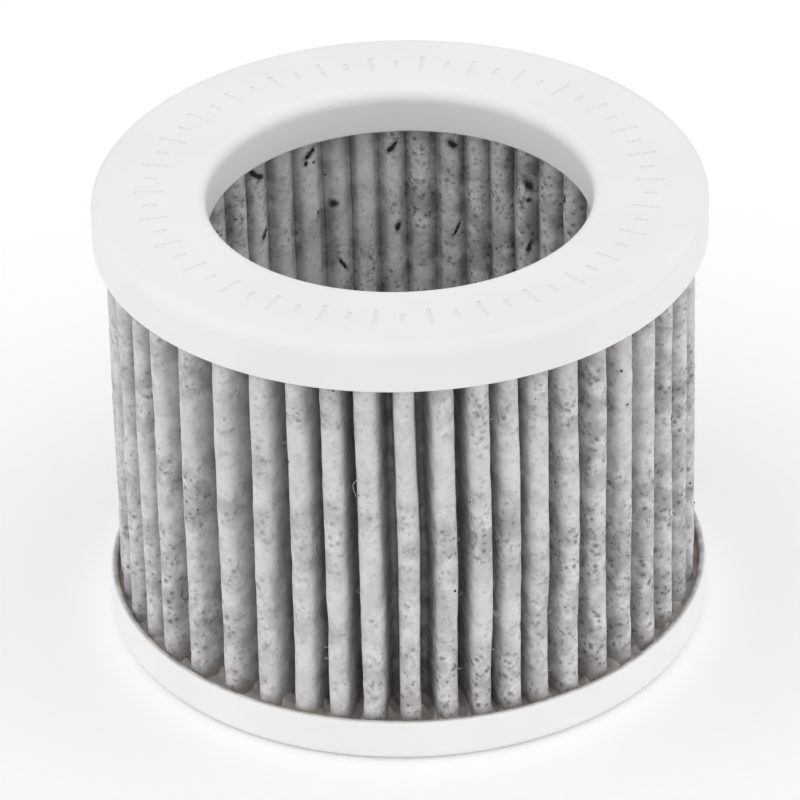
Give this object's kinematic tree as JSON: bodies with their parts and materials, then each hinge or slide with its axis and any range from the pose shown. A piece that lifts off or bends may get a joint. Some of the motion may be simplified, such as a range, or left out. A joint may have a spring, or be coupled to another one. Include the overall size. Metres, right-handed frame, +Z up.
{
  "type": "pleated filter cartridge",
  "caption": "Round pleated carbon filter cartridge with a white moulded ring cap, an open bore at the top and a closed dish at the base.",
  "frame": {"origin": "centre of the underside, on the plane that the cartridge stands on", "axes": "+Z up along the cartridge's axis, towards the open bore; -Y is the side that the picture shows"},
  "size_m": [0.1, 0.1, 0.0785],
  "materials": {
    "cap_plastic": "fine satin, as moulded, off-white",
    "fleece": "nonwoven fleece, dry and fuzzy, with dark granules showing through",
    "carbon": "layer of black activated-carbon granules, matt",
    "hot_melt": "cast compound, smooth and slightly glossy, greyish beige"
  },
  "bodies": {
    "root": {"top_cap": "cap_plastic", "bottom_cap": "cap_plastic", "outer_fleece": "fleece", "carbon_layer": "carbon", "inner_fleece": "fleece", "seam_bead": "hot_melt", "top_potting": "hot_melt", "bottom_potting": "hot_melt"}
  },
  "joints": []
}
